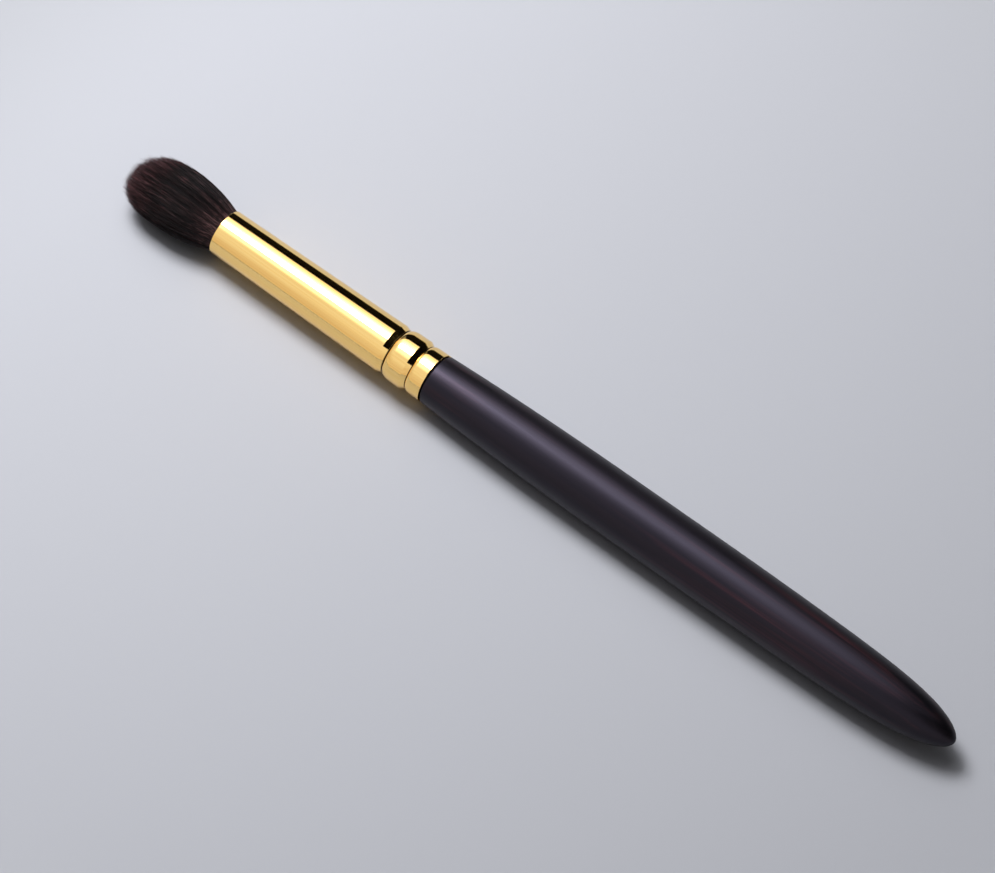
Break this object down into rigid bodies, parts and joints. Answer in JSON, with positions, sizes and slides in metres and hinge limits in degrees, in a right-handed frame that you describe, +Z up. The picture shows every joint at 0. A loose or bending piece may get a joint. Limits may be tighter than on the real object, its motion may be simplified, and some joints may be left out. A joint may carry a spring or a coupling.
{
  "type": "blending brush",
  "caption": "Round make-up blending brush lying on its side: domed hair head, crimped metal ferrule, full-bellied turned wooden handle with a blunt pointed butt.",
  "frame": {"origin": "on the ground plane under the middle of the brush, half-way between the hair's tip and the butt's tip, with the brush lying on its side", "axes": "+X runs along the brush from the hair's tip to the handle's butt, +Z is up from the surface that the brush lies on, and Y is across the brush"},
  "size_m": [0.16, 0.011, 0.0105],
  "materials": {
    "ebony": "satin near-black ebony, oiled and rubbed",
    "gold_plate": "polished gold plate on drawn brass",
    "natural_hair": "soft dark brown natural hair",
    "root_resin": "set amber resin",
    "cotton_thread": "undyed cotton",
    "epoxy_glue": "set clear-yellow epoxy"
  },
  "bodies": {
    "root": {"handle": "ebony", "ferrule": "gold_plate", "hair_tuft": "natural_hair", "root_plug": "root_resin", "binding_thread": "cotton_thread", "tenon_glue": "epoxy_glue"}
  },
  "joints": []
}
